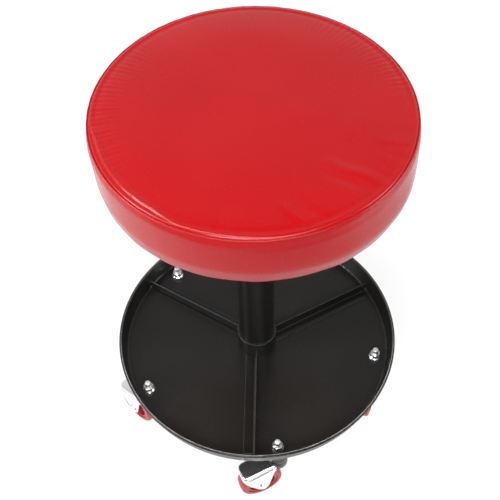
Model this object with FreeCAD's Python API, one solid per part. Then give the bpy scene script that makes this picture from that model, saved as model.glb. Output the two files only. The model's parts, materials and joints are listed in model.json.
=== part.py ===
"""Rolling workshop stool: a padded seat on a gas lift, standing on a round tool tray with five casters.

Millimetres, +Z up. The origin is on the floor under the column's axis, and the seat is fully raised.
"""
import FreeCAD, Part
import math
import os

# Gaps between pieces
press_gap = 0.02      # radial, between pieces that are pressed or welded together
running_gap = 0.08    # radial, between pieces that turn or slide on each other
loose_gap = 0.3       # between soft pieces, and at stops

# Tool tray
tray_diameter = 400.0
tray_floor_height = 101.5
tray_depth = 25.0            # from the floor to the middle of the rolled rim
tray_sheet = 1.5
tray_draft = 4.6             # how far the wall leans out
tray_corner_radius = 3.0
rim_bead_diameter = 4.4

# Dividers on the tray floor
divider_count = 3
divider_first_angle = 28.1
divider_sheet = 1.2
divider_height = 17.0
divider_flange_width = 16.0
divider_bend_radius = 2.5
divider_wall_gap = 1.0
divider_corner_cut = 8.0

# Hub that holds the column
hub_diameter = 55.0
hub_rise = 30.5              # above the tray floor
hub_drop = 36.0              # below the tray floor
hub_plate_diameter = 130.0
hub_plate_thickness = 3.0

# Outer tube of the gas lift
column_diameter = 50.0
column_wall = 2.0
column_top = 292.5
column_foot_drop = 8.0       # below the hub
column_taper = 1.6           # loss of diameter inside the hub
end_plate_thickness = 4.0
bush_length = 80.0
bush_flange_thickness = 2.0

# Gas spring
stroke = 125.0
cylinder_diameter = 28.0
cylinder_wall = 2.5
cylinder_taper = 1.4         # loss of diameter inside the seat's socket
rod_diameter = 10.0
rod_neck_diameter = 7.0
rod_tail = 8.0               # below the column's foot
rod_guide_length = 14.0
piston_length = 12.0
piston_seal_width = 3.0
piston_seal_depth = 2.0
valve_length = 20.0
release_pin_diameter = 4.0
release_pin_head_diameter = 9.0
release_pin_head_height = 2.5
release_pin_length = 20.0

# Thrust bearing, bumper and clip at the foot of the rod
race_diameter = 26.0
race_thickness = 2.0
thrust_ball_diameter = 4.0
thrust_ball_count = 10
bumper_diameter = 22.0
bumper_length = 14.0
bumper_stop_gap = 1.0
clip_diameter = 14.0
clip_thickness = 1.2
clip_groove_depth = 0.7
clip_mouth = 4.0

# Seat
seat_diameter = 365.0        # at the seam
seat_height = 566.5          # of the seam
seat_side_height = 74.0
seat_bottom_diameter = 360.5
seat_crown = 7.0
seat_shoulder = 16.0         # width of the rounded edge inside the seam
seat_shoulder_drop = 3.0
seat_side_bulge = 3.0
seat_edge_radius = 8.0
seam_bead_diameter = 3.6
cover_thickness = 1.2
cover_wrap = 32.0            # width of the cover under the board
board_thickness = 12.0
staple_count = 24
staple_crown = 10.0
staple_wire = 0.8
staple_leg = 7.0

# Seat plate, channel and taper socket
plate_side = 150.0
plate_thickness = 2.5
plate_corner_radius = 15.0
bolt_pitch = 110.0
bolt_diameter = 6.0
bolt_head_diameter = 12.0
bolt_head_height = 4.0
tee_nut_flange_diameter = 19.0
tee_nut_flange_thickness = 1.3
tee_nut_barrel_diameter = 8.0
tee_nut_barrel_length = 9.0
channel_width = 62.0
channel_depth = 30.0
channel_length = 96.0
channel_wall = 2.5
socket_diameter = 36.0
socket_drop = 24.0           # below the channel

# Release lever
lever_angle = 18.0           # direction of the lever seen from above
lever_diameter = 8.0
lever_plate_gap = 2.0
lever_tip = 8.0              # past the release pin
lever_pivot_reach = 36.0
lever_pull = 6.0             # degrees that the lever lifts
lever_knee_reach = 48.0
lever_knee_drop = 16.0
lever_knee_run = 16.0
lever_reach = 164.0
lever_bend_radius = 12.0
pivot_pin_diameter = 5.0
pivot_pin_head = 2.0
pivot_sleeve_diameter = 11.0
pivot_sleeve_length = 18.0
grip_diameter = 14.0
grip_length = 50.0
grip_end = 4.0

# Casters
caster_names = ("front", "left", "back_left", "back_right", "right")
caster_headings = (202.0, 136.0, 80.0, 60.0, 250.0)   # from the swivel to the wheel, seen from above
stud_edge_distance = 26.0    # from the edge of the tray
first_stud_angle = 278.4
stud_diameter = 8.0
stud_rise = 16.5             # above the tray floor
stud_pitch = 1.25
stud_thread_length = 8.0
stud_thread_depth = 0.6
stud_centre_mark = 2.4
nut_flats = 13.0
nut_height = 8.0
nut_flange_diameter = 17.9
nut_flange_thickness = 1.6
nut_chamfer = 1.2
wheel_diameter = 62.0
wheel_width = 22.0
wheel_crown = 0.8
wheel_shoulder = 3.5
tread_thickness = 8.0
core_width = 20.0
core_web = 8.0
core_rim = 4.0
core_boss_diameter = 18.0
trail = 27.0
axle_diameter = 8.0
axle_head_diameter = 13.0
axle_head_height = 2.0
wheel_side_gap = 0.5
yoke_sheet = 2.0
yoke_inner_width = 25.0
yoke_fold_radius = 2.4
crown_height = 76.0          # top face of the yoke over the floor
crown_skirt = 12.0
hood_bend_reach = 12.0
hood_end_reach = 56.5
hood_end_height = 64.0
hood_lip = 7.0
hood_corner_radius = 9.0
cheek_thickness = 1.0        # raised face of a leg
cheek_drop = 5.0             # from the top of the hood
leg_boss_radius = 9.0
leg_throat_reach = 10.0
leg_throat_radius = 10.0
stem_flange_thickness = 3.0
kingpin_diameter = 10.0
kingpin_head_diameter = 16.0
kingpin_head_height = 2.5
cup_diameter = 28.0
race_gap = 2.0               # between the cup and the yoke
swivel_ball_diameter = 5.0
swivel_ball_circle = 18.0
swivel_ball_count = 10
yoke_boss_height = 8.0

V = FreeCAD.Vector
UP = V(0, 0, 1)
ORIGIN = V(0, 0, 0)
nodes = {}


def disc(radius, bottom, top):
    """A round solid about the Z axis."""
    return Part.makeCylinder(radius, top - bottom, V(0, 0, bottom))


def ring(outer, inner, bottom, top):
    """A round solid about the Z axis with a bore."""
    return disc(outer, bottom, top).cut(disc(inner, bottom, top))


def box(low, high):
    """A block between two opposite corners."""
    return Part.makeBox(high.x - low.x, high.y - low.y, high.z - low.z, low)


def spun(shape, angle):
    """A copy turned about the Z axis."""
    copy = shape.copy()
    copy.rotate(ORIGIN, UP, angle)
    return copy


def polar(radius, angle):
    """A point at a radius and an angle seen from above."""
    return V(radius * math.cos(math.radians(angle)), radius * math.sin(math.radians(angle)), 0)


def corner_arc(before, corner, after, radius):
    """Start, middle and end of the arc that rounds a corner."""
    one = (before - corner).normalize()
    two = (after - corner).normalize()
    half = one.getAngle(two) / 2
    centre = corner + (one + two).normalize() * (radius / math.sin(half))
    middle = centre + (corner - centre).normalize() * radius
    reach = radius / math.tan(half)
    return corner + one * reach, middle, corner + two * reach


def rounded_edges(corners, closed):
    """Lines and arcs through (point, radius) corners, each corner rounded by its radius."""
    count = len(corners)
    edges = []
    last = None
    first = None
    for i, (point, radius) in enumerate(corners):
        inside = closed or 0 < i < count - 1
        if inside and radius > 0:
            start, middle, end = corner_arc(corners[i - 1][0], point, corners[(i + 1) % count][0], radius)
        else:
            start, middle, end = point, None, point
        if last is not None and (start - last).Length > 1e-6:
            edges.append(Part.LineSegment(last, start).toShape())
        if middle is not None:
            edges.append(Part.Arc(start, middle, end).toShape())
        first = start if first is None else first
        last = end
    if closed and (first - last).Length > 1e-6:
        edges.append(Part.LineSegment(last, first).toShape())
    return edges


def rounded_face(corners):
    """A flat face with rounded corners."""
    return Part.Face(Part.Wire(Part.__sortEdges__(rounded_edges(corners, True))))


def turned(corners):
    """A solid turned about the Z axis from (radius, height, rounding) corners."""
    face = rounded_face([(V(r, 0, z), rounding) for r, z, rounding in corners])
    return face.revolve(ORIGIN, UP, 360)


def around(shape, count, first_angle=0.0):
    """Copies of a shape, evenly spaced about the Z axis, as a list."""
    return [spun(shape, first_angle + i * 360.0 / count) for i in range(count)]


def keep(name, *solids):
    """Store the solids of one node."""
    nodes[name] = list(solids)


# Heights and widths that several pieces share
tray_under = tray_floor_height - tray_sheet
rim_height = tray_floor_height + tray_depth
stud_circle_radius = tray_diameter / 2 - stud_edge_distance
hub_top = tray_floor_height + hub_rise
hub_bottom = tray_floor_height - hub_drop
column_foot = hub_bottom - column_foot_drop
seat_bottom = seat_height - seat_side_height
board_bottom = seat_bottom + cover_thickness
board_top = board_bottom + board_thickness
plate_bottom = board_bottom - plate_thickness
lever_height = plate_bottom - lever_plate_gap - lever_diameter / 2
pin_press = (lever_pivot_reach + release_pin_head_diameter / 2) * math.tan(math.radians(lever_pull))
pin_top = lever_height - lever_diameter / 2 - loose_gap
cylinder_top = pin_top - release_pin_head_height - pin_press - loose_gap
channel_bottom = plate_bottom - channel_depth
socket_bottom = channel_bottom - socket_drop
leg_half_width = yoke_inner_width / 2 + yoke_sheet + cheek_thickness


def tool_tray():
    """Round pressed pan with a rolled rim, a hub hole and the caster stud holes."""
    wall_top = tray_diameter / 2 - rim_bead_diameter
    wall_foot = wall_top - tray_draft
    hole = hub_diameter / 2 + press_gap
    bead_radius = rim_bead_diameter / 2
    bead = Part.makeTorus(tray_diameter / 2 - bead_radius, bead_radius, V(0, 0, rim_height))
    pan = turned([
        (hole, tray_under, 0),
        (wall_foot + tray_sheet, tray_under, tray_corner_radius + tray_sheet),
        (wall_top + tray_sheet, rim_height, 0),
        (wall_top, rim_height, 0),
        (wall_foot, tray_floor_height, tray_corner_radius),
        (hole, tray_floor_height, 0),
    ])
    tray = pan.fuse(bead).removeSplitter()
    for x, y in stud_places():
        hole = Part.makeCylinder(stud_diameter / 2 + running_gap, tray_sheet, V(x, y, tray_under))
        tray = tray.cut(hole)
    return tray


def stud_places():
    """Where the caster studs stand, seen from above."""
    count = len(caster_names)
    points = [polar(stud_circle_radius, first_stud_angle - i * 360.0 / count) for i in range(count)]
    return [(p.x, p.y) for p in points]


def divider():
    """L-section plate along +X, with its flange on the clockwise side."""
    wall_foot = tray_diameter / 2 - rim_bead_diameter - tray_draft
    start = hub_diameter / 2 + press_gap
    end = wall_foot - divider_wall_gap
    floor = tray_floor_height
    section = rounded_face([
        (V(0, 0, floor), divider_bend_radius + divider_sheet),
        (V(0, 0, floor + divider_height), 0),
        (V(0, -divider_sheet, floor + divider_height), 0),
        (V(0, -divider_sheet, floor + divider_sheet), divider_bend_radius),
        (V(0, -divider_flange_width, floor + divider_sheet), 0),
        (V(0, -divider_flange_width, floor), 0),
    ])
    plate = section.extrude(V(end, 0, 0))
    plate.translate(V(0, divider_sheet / 2, 0))
    corner = rounded_face([
        (V(end - divider_corner_cut, -divider_flange_width, floor), 0),
        (V(end, -divider_flange_width, floor), 0),
        (V(end, -divider_flange_width, floor + divider_corner_cut), 0),
    ])
    cut = corner.extrude(V(0, divider_flange_width + divider_sheet, 0))
    return plate.cut(cut).cut(disc(start, floor, floor + divider_height))


def tapered(radius, loss, low, high, bottom, top):
    """A round solid whose radius falls by loss from high to low and is steady outside them."""
    return turned([
        (0, bottom, 0),
        (radius - loss, bottom, 0),
        (radius - loss, low, 0),
        (radius, high, 0),
        (radius, top, 0),
        (0, top, 0),
    ])


def make_base():
    """Tray, dividers, hub and outer tube."""
    keep("tool_tray", tool_tray())
    places = ("divider_right", "divider_left", "divider_front")
    for name, plate in zip(places, around(divider(), divider_count, divider_first_angle)):
        keep(name, plate)

    column_radius = column_diameter / 2
    loss = column_taper / 2
    foot_radius = column_radius - column_wall - loss
    column = tapered(column_radius, loss, hub_bottom, hub_top, column_foot, column_top)
    bore = tapered(column_radius - column_wall, loss, hub_bottom, hub_top, column_foot, column_top)
    hub_bore = tapered(column_radius + press_gap, loss, hub_bottom, hub_top, hub_bottom, hub_top)
    keep("column_tube", column.cut(bore))
    keep("hub_socket", disc(hub_diameter / 2, hub_bottom, hub_top).cut(hub_bore))
    hub_radius = hub_diameter / 2 + press_gap
    keep("hub_plate", ring(hub_plate_diameter / 2, hub_radius, tray_under - hub_plate_thickness, tray_under))
    neck_hole = rod_neck_diameter / 2 + running_gap
    keep("column_end_plate", ring(foot_radius - press_gap, neck_hole, column_foot, end_plate_top()))

    bush_bore = cylinder_diameter / 2 + running_gap
    bush = ring(column_radius - column_wall - press_gap, bush_bore, column_top - bush_length, column_top)
    flange = ring(column_radius, bush_bore, column_top, column_top + bush_flange_thickness)
    keep("guide_bush", bush.fuse(flange).removeSplitter())


def end_plate_top():
    """Height of the floor inside the outer tube."""
    return column_foot + end_plate_thickness


def make_thrust_bearing():
    """Races and balls that the rod turns on. Returns the height of the upper race's top."""
    neck_hole = rod_neck_diameter / 2 + running_gap
    lower = end_plate_top()
    balls_at = lower + race_thickness + running_gap + thrust_ball_diameter / 2
    upper = balls_at + thrust_ball_diameter / 2 + running_gap
    keep("thrust_race_lower", ring(race_diameter / 2, neck_hole, lower, lower + race_thickness))
    keep("thrust_race_upper", ring(race_diameter / 2, rod_neck_diameter / 2, upper, upper + race_thickness))
    circle = (race_diameter / 2 + neck_hole) / 2
    ball = Part.makeSphere(thrust_ball_diameter / 2, V(circle, 0, balls_at))
    keep("thrust_balls", *around(ball, thrust_ball_count))
    return upper + race_thickness


def make_gas_spring(shoulder):
    """Rod, piston, cylinder, valve and release pin. The rod's shoulder stands on the upper race."""
    rod_radius = rod_diameter / 2
    neck_radius = rod_neck_diameter / 2
    bore_radius = cylinder_diameter / 2 - cylinder_wall
    bumper_top = shoulder + bumper_length
    cylinder_foot = bumper_top + bumper_stop_gap + stroke
    guide_top = cylinder_foot + rod_guide_length
    piston_foot = guide_top + loose_gap
    piston_top = piston_foot + piston_length

    clip_top = column_foot - loose_gap
    groove = ring(neck_radius, neck_radius - clip_groove_depth, clip_top - clip_thickness, clip_top)
    rod = disc(neck_radius, column_foot - rod_tail, shoulder).fuse(disc(rod_radius, shoulder, piston_top))
    keep("piston_rod", rod.removeSplitter().cut(groove))
    clip = ring(clip_diameter / 2, neck_radius - clip_groove_depth, clip_top - clip_thickness, clip_top)
    mouth = box(V(0, -clip_mouth / 2, clip_top - clip_thickness), V(clip_diameter, clip_mouth / 2, clip_top))
    keep("rod_clip", clip.cut(mouth))
    keep("rod_bumper", ring(bumper_diameter / 2, rod_radius, shoulder, bumper_top))

    seal_foot = (piston_foot + piston_top - piston_seal_width) / 2
    seal_inner = bore_radius - piston_seal_depth
    seal_outer = bore_radius - running_gap / 2
    seal = ring(seal_outer, seal_inner, seal_foot, seal_foot + piston_seal_width)
    piston = ring(bore_radius - running_gap, rod_radius, piston_foot, piston_top)
    keep("piston", piston.cut(seal))
    keep("piston_seal", seal)

    taper = cylinder_taper / 2
    body = turned([
        (0, cylinder_foot, 0),
        (cylinder_diameter / 2, cylinder_foot, 0),
        (cylinder_diameter / 2, socket_bottom, 0),
        (cylinder_diameter / 2 - taper, cylinder_top, 0),
        (0, cylinder_top, 0),
    ])
    keep("gas_cylinder", body.cut(disc(bore_radius, cylinder_foot, cylinder_top)))
    fit = bore_radius - press_gap
    keep("rod_guide", ring(fit, rod_radius + running_gap, cylinder_foot, guide_top))
    pin_radius = release_pin_diameter / 2
    keep("valve_body", ring(fit, pin_radius + running_gap, cylinder_top - valve_length, cylinder_top))
    head_foot = pin_top - release_pin_head_height
    pin = disc(pin_radius, head_foot - release_pin_length, head_foot)
    head = disc(release_pin_head_diameter / 2, head_foot, pin_top)
    keep("release_pin", pin.fuse(head).removeSplitter())

    socket = disc(socket_diameter / 2, socket_bottom, cylinder_top)
    socket_bore = turned([
        (0, socket_bottom, 0),
        (cylinder_diameter / 2 + press_gap, socket_bottom, 0),
        (cylinder_diameter / 2 - taper + press_gap, cylinder_top, 0),
        (0, cylinder_top, 0),
    ])
    keep("taper_socket", socket.cut(socket_bore))


def bolt_places():
    """Where the seat bolts stand, in the lever's own directions."""
    half = bolt_pitch / 2
    return [V(x, y, 0) for x in (-half, half) for y in (-half, half)]


def at_bolts(shape):
    """Copies of a shape at each seat bolt."""
    copies = []
    for place in bolt_places():
        copy = shape.copy()
        copy.translate(place)
        copies.append(spun(copy, lever_angle))
    return copies


def bored(shape, bores):
    """A shape with a list of bores cut out of it."""
    for bore in bores:
        shape = shape.cut(bore)
    return shape


def make_seat_plate():
    """Flat plate with a channel under it, the bolts and the tee nuts."""
    half = plate_side / 2
    plate = rounded_face([
        (V(-half, -half, plate_bottom), plate_corner_radius),
        (V(half, -half, plate_bottom), plate_corner_radius),
        (V(half, half, plate_bottom), plate_corner_radius),
        (V(-half, half, plate_bottom), plate_corner_radius),
    ]).extrude(V(0, 0, plate_thickness))
    bolt_radius = bolt_diameter / 2
    bolt_holes = at_bolts(disc(bolt_radius + running_gap, plate_bottom, board_bottom))
    keep("seat_plate", bored(spun(plate, lever_angle), bolt_holes))

    wide = channel_width / 2
    along = channel_length / 2
    outside = box(V(-along, -wide, channel_bottom), V(along, wide, plate_bottom))
    web_top = channel_bottom + channel_wall
    inside = box(V(-along, channel_wall - wide, web_top), V(along, wide - channel_wall, plate_bottom))
    socket_hole = disc(socket_diameter / 2 + press_gap, channel_bottom, web_top)
    channel = outside.cut(inside).cut(socket_hole)
    pivot_hole = pivot_bar(pivot_pin_diameter / 2 + press_gap, channel_width)
    keep("seat_channel", spun(channel.cut(pivot_hole), lever_angle))
    pin = pivot_bar(pivot_pin_diameter / 2, channel_width)
    heads = pivot_bar(pivot_pin_diameter / 2 + pivot_pin_head, channel_width + 2 * pivot_pin_head)
    heads = heads.cut(box(V(0, -wide, channel_bottom), V(channel_length, wide, plate_bottom)))
    keep("lever_pivot_pin", spun(pin.fuse(heads.Solids).removeSplitter(), lever_angle))

    barrel_foot = board_top - tee_nut_flange_thickness - tee_nut_barrel_length
    shank = disc(bolt_radius, plate_bottom, board_top - tee_nut_flange_thickness)
    head = disc(bolt_head_diameter / 2, plate_bottom - bolt_head_height, plate_bottom)
    keep("seat_bolts", *at_bolts(shank.fuse(head).removeSplitter()))
    flange_foot = board_top - tee_nut_flange_thickness
    barrel = disc(tee_nut_barrel_diameter / 2, barrel_foot, flange_foot)
    flange = disc(tee_nut_flange_diameter / 2, flange_foot, board_top)
    thread = disc(bolt_radius + press_gap, barrel_foot, board_top)
    keep("tee_nuts", *at_bolts(barrel.fuse(flange).removeSplitter().cut(thread)))


def pivot_bar(radius, length):
    """A round bar on the lever's pivot axis."""
    return Part.makeCylinder(radius, length, V(lever_pivot_reach, -length / 2, lever_height), V(0, 1, 0))


def make_lever():
    """Bent rod that presses the release pin, with a grip at its outer end."""
    low = lever_height - lever_knee_drop
    knee_end = lever_knee_reach + lever_knee_run
    path = Part.Wire(rounded_edges([
        (V(-lever_tip, 0, lever_height), 0),
        (V(lever_knee_reach, 0, lever_height), lever_bend_radius),
        (V(knee_end, 0, low), lever_bend_radius),
        (V(lever_reach, 0, low), 0),
    ], False))
    section = Part.Wire(Part.makeCircle(lever_diameter / 2, V(-lever_tip, 0, lever_height), V(1, 0, 0)))
    rod = path.makePipeShell([section], True, False)
    sleeve = pivot_bar(pivot_sleeve_diameter / 2, pivot_sleeve_length)
    hole = pivot_bar(pivot_pin_diameter / 2 + running_gap, pivot_sleeve_length)
    lever = rod.fuse(sleeve).cut(hole)
    keep("release_lever", *spun(lever, lever_angle).Solids)

    grip = turned([
        (0, 0, 0),
        (grip_diameter / 2, 0, grip_end / 2),
        (grip_diameter / 2, grip_length, grip_end),
        (0, grip_length, 0),
    ])
    grip = grip.cut(disc(lever_diameter / 2 + press_gap, 0, grip_length - grip_end))
    grip.rotate(ORIGIN, V(0, 1, 0), 90)
    grip.translate(V(lever_reach - grip_length + grip_end, 0, low))
    keep("lever_grip", spun(grip, lever_angle))


def cushion(inset, floor):
    """The seat's crowned round form, drawn in by an inset, above a floor height."""
    seam_radius = seat_diameter / 2 - inset
    shoulder_radius = seam_radius - seat_shoulder
    top = seat_height + seat_crown - inset
    shoulder_top = seat_height + seat_shoulder_drop - inset
    bottom_radius = seat_bottom_diameter / 2 - inset
    drop = top - shoulder_top
    crown_radius = (shoulder_radius ** 2 + drop ** 2) / (2 * drop)
    half_drop = crown_radius - math.sqrt(crown_radius ** 2 - shoulder_radius ** 2 / 4)
    seam = V(seam_radius, 0, seat_height - inset)
    shoulder = V(shoulder_radius, 0, shoulder_top)
    sag = V(1, 0, 1).normalize() * (seat_shoulder_drop / 4)
    foot = V(bottom_radius, 0, seat_bottom + seat_edge_radius)
    lean = (seam - foot).normalize()
    bulge = V(lean.z, 0, -lean.x) * seat_side_bulge
    edge_radius = seat_edge_radius - inset
    edge_middle = polar(edge_radius, -45)
    turn = V(bottom_radius - edge_radius, 0, seat_bottom + seat_edge_radius)
    under = V(turn.x, 0, seat_bottom + inset)
    edges = [
        Part.Arc(V(0, 0, top), V(shoulder_radius / 2, 0, top - half_drop), shoulder).toShape(),
        Part.Arc(shoulder, (shoulder + seam) * 0.5 + sag, seam).toShape(),
        Part.Arc(seam, (seam + foot) * 0.5 + bulge, foot).toShape(),
        Part.Arc(foot, turn + V(edge_middle.x, 0, edge_middle.y), under).toShape(),
        Part.LineSegment(under, V(0, 0, under.z)).toShape(),
        Part.LineSegment(V(0, 0, under.z), V(0, 0, top)).toShape(),
    ]
    form = Part.Face(Part.Wire(edges)).revolve(ORIGIN, UP, 360)
    if floor > under.z:
        form = form.cut(disc(seat_diameter, seat_bottom, floor))
    return form


def make_seat():
    """Board, foam pad, sewn cover and the staples that hold it."""
    board_radius = seat_bottom_diameter / 2 - cover_thickness - loose_gap
    board = turned([
        (0, board_bottom, 0),
        (board_radius, board_bottom, min(seat_edge_radius, board_thickness - cover_thickness)),
        (board_radius, board_top, 0),
        (0, board_top, 0),
    ])
    pocket_foot = board_top - tee_nut_flange_thickness
    flange_pockets = at_bolts(disc(tee_nut_flange_diameter / 2 + press_gap, pocket_foot, board_top))
    barrel_holes = at_bolts(disc(tee_nut_barrel_diameter / 2 + press_gap, board_bottom, board_top))
    keep("seat_board", bored(board, flange_pockets + barrel_holes))
    keep("seat_foam", cushion(cover_thickness + loose_gap, board_top))

    opening = disc(seat_bottom_diameter / 2 - cover_wrap, seat_bottom, board_bottom)
    bead_radius = seam_bead_diameter / 2
    bead = Part.makeTorus(seat_diameter / 2 - bead_radius, bead_radius, V(0, 0, seat_height))
    cover = cushion(0, 0).fuse(bead).cut(cushion(cover_thickness, 0)).cut(opening)
    keep("seat_cover", *cover.removeSplitter().Solids)

    inner = seat_bottom_diameter / 2 - cover_wrap / 2
    outer = inner + staple_wire
    half = staple_crown / 2
    leg_top = seat_bottom + staple_leg
    crown = box(V(inner, -half, seat_bottom - staple_wire), V(outer, half, seat_bottom))
    one_leg = box(V(inner, -half, seat_bottom), V(outer, staple_wire - half, leg_top))
    other_leg = box(V(inner, half - staple_wire, seat_bottom), V(outer, half, leg_top))
    staple = crown.fuse([one_leg, other_leg]).removeSplitter()
    keep("cover_staples", *around(staple, staple_count))


def caster_stem():
    """Threaded stud, flange and riveted kingpin of a caster, on the Z axis."""
    top = tray_floor_height + stud_rise
    radius = stud_diameter / 2
    root = radius - stud_thread_depth
    profile = [(0, kingpin_foot(), 0)]
    profile.append((kingpin_head_diameter / 2, kingpin_foot(), 0))
    profile.append((kingpin_head_diameter / 2, kingpin_foot() + kingpin_head_height, 0))
    profile.append((kingpin_diameter / 2, kingpin_foot() + kingpin_head_height, 0))
    profile.append((kingpin_diameter / 2, tray_under - stem_flange_thickness, 0))
    profile.append((cup_diameter / 2, tray_under - stem_flange_thickness, 0))
    profile.append((cup_diameter / 2, tray_under, 0))
    profile.append((radius, tray_under, 0))
    turns = int(stud_thread_length / stud_pitch)
    for i in range(turns, 0, -1):
        height = top - stud_thread_depth - i * stud_pitch
        profile.append((radius, height, 0))
        profile.append((root, height + stud_pitch / 2, 0))
    profile.append((radius, top - stud_thread_depth, 0))
    profile.append((root, top, 0))
    profile.append((stud_centre_mark / 2, top, 0))
    profile.append((0, top - stud_centre_mark / 2, 0))
    return turned(profile)


def kingpin_foot():
    """Height of the lower end of a caster's kingpin."""
    return crown_height - yoke_sheet - loose_gap - kingpin_head_height


def flange_nut():
    """Hexagon nut with a flange, on the tray floor, on the Z axis."""
    foot = tray_floor_height
    top = foot + nut_height
    corner = nut_flats / 2 / math.cos(math.radians(30))
    corners = [polar(corner, 60.0 * i) + V(0, 0, foot) for i in range(6)]
    prism = rounded_face([(point, 0) for point in corners]).extrude(V(0, 0, nut_height))
    dome = turned([
        (0, foot, 0),
        (corner, foot, 0),
        (corner, top - nut_chamfer, 0),
        (corner - nut_chamfer, top, 0),
        (0, top, 0),
    ])
    flange = turned([
        (0, foot, 0),
        (nut_flange_diameter / 2, foot, 0),
        (nut_flange_diameter / 2, foot + nut_flange_thickness / 2, 0),
        (nut_flats / 2, foot + 2 * nut_flange_thickness, 0),
        (0, foot + 2 * nut_flange_thickness, 0),
    ])
    bore = disc(stud_diameter / 2 + press_gap, foot, top)
    return prism.common(dome).fuse(flange).removeSplitter().cut(bore)


def swivel_ball_height():
    """Height of the middle of the swivel balls."""
    return crown_height + yoke_boss_height + race_gap / 2


def ball_groove():
    """The round track of the swivel balls, with room for them to roll."""
    radius = swivel_ball_diameter / 2 + running_gap
    return Part.makeTorus(swivel_ball_circle / 2, radius, V(0, 0, swivel_ball_height()))


def swivel_cup():
    """Upper race of a caster, under the stem's flange."""
    foot = crown_height + yoke_boss_height + race_gap
    cup = ring(cup_diameter / 2, kingpin_diameter / 2 + press_gap, foot, tray_under - stem_flange_thickness)
    return cup.cut(ball_groove())


def tangent_crossing(first, second, centre, radius):
    """Where the two tangents to a circle in the XZ plane meet, one from each of two points outside it."""
    lines = []
    for point, side in ((first, 1), (second, -1)):
        away = centre - point
        turn = math.atan2(away.z, away.x) + side * math.asin(radius / away.Length)
        lines.append((point, V(math.cos(turn), 0, math.sin(turn))))
    (one, one_way), (two, two_way) = lines
    cross = one_way.x * two_way.z - one_way.z * two_way.x
    gap = two - one
    return one + one_way * ((gap.x * two_way.z - gap.z * two_way.x) / cross)


def yoke_plan(half_width, end, corner):
    """The yoke seen from above: a round end at the swivel, a hood with rounded corners at the other."""
    hood = rounded_face([
        (V(0, -half_width, 0), 0),
        (V(end, -half_width, 0), corner),
        (V(end, half_width, 0), corner),
        (V(0, half_width, 0), 0),
    ]).extrude(V(0, 0, crown_height))
    return hood.fuse(disc(half_width, 0, crown_height)).removeSplitter()


def yoke_side(inset):
    """Corners of the yoke's top line seen from the side, from the swivel's end to the hood's end."""
    half_width = yoke_inner_width / 2 + yoke_sheet
    return [
        (V(-half_width, 0, crown_height - inset), 0),
        (V(hood_bend_reach, 0, crown_height - inset), 0),
        (V(hood_end_reach, 0, hood_end_height - inset), 0),
    ]


def yoke():
    """Stamped fork with a hood, its swivel on the Z axis and its wheel towards +X."""
    half_width = yoke_inner_width / 2 + yoke_sheet
    wheel_middle = V(trail, 0, wheel_diameter / 2)
    skirt = crown_height - crown_skirt
    lip = V(hood_end_reach, 0, hood_end_height - hood_lip)
    throat = V(leg_throat_reach, 0, skirt)
    boss = tangent_crossing(lip, throat, wheel_middle, leg_boss_radius)
    outline = yoke_side(0) + [
        (lip, 0),
        (boss, leg_boss_radius),
        (throat, leg_throat_radius),
        (V(-half_width, 0, skirt), 0),
    ]
    side = rounded_face(outline)
    side.translate(V(0, -half_width, 0))
    plan = yoke_plan(half_width, hood_end_reach, hood_corner_radius)
    outside = side.extrude(V(0, 2 * half_width, 0)).common(plan).removeSplitter()
    folds = [edge for edge in outside.Edges if on_fold(edge)]
    outside = outside.makeFillet(yoke_fold_radius, folds)

    leg_face = rounded_face(yoke_side(cheek_drop)[1:] + [(lip, 0), (boss, leg_boss_radius), (throat, 0)])
    leg_face.translate(V(0, -leg_half_width, 0))
    corner_start = V(hood_end_reach - hood_corner_radius, leg_half_width, crown_height)
    reach = box(V(0, -leg_half_width, 0), corner_start)
    cheeks = leg_face.extrude(V(0, 2 * leg_half_width, 0)).common(reach)

    under = yoke_side(yoke_sheet) + [(V(hood_end_reach, 0, 0), 0), (V(-half_width, 0, 0), 0)]
    space = rounded_face(under)
    space.translate(V(0, -half_width, 0))
    inner_plan = yoke_plan(yoke_inner_width / 2, hood_end_reach - yoke_sheet, hood_corner_radius - yoke_sheet)
    inside = space.extrude(V(0, 2 * half_width, 0)).common(inner_plan)

    boss_top = crown_height + yoke_boss_height
    swivel_boss = disc(cup_diameter / 2, crown_height - yoke_sheet, boss_top)
    bore = disc(kingpin_diameter / 2 + running_gap, kingpin_foot(), boss_top)
    axle_hole = Part.makeCylinder(axle_diameter / 2 + press_gap, 2 * leg_half_width,
                                  wheel_middle - V(0, leg_half_width, 0), V(0, 1, 0))
    fork = outside.fuse(cheeks).cut(inside).fuse(swivel_boss).removeSplitter()
    return bored(fork, [bore, axle_hole, ball_groove()])


def on_fold(edge):
    """Whether an edge lies on the fold between the yoke's top and its sides."""
    middle = edge.valueAt((edge.FirstParameter + edge.LastParameter) / 2)
    slope = (crown_height - hood_end_height) / (hood_end_reach - hood_bend_reach)
    top = crown_height - slope * max(0.0, middle.x - hood_bend_reach)
    crease = abs(middle.x - hood_bend_reach) < yoke_sheet / 4 and abs(middle.y) < yoke_sheet / 4
    return abs(middle.z - top) < yoke_sheet / 4 and not crease


def on_axle(shape):
    """A shape turned about the Z axis, laid on the wheel's axle."""
    shape.rotate(ORIGIN, V(1, 0, 0), 90)
    shape.translate(V(trail, 0, wheel_diameter / 2))
    return shape


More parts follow.
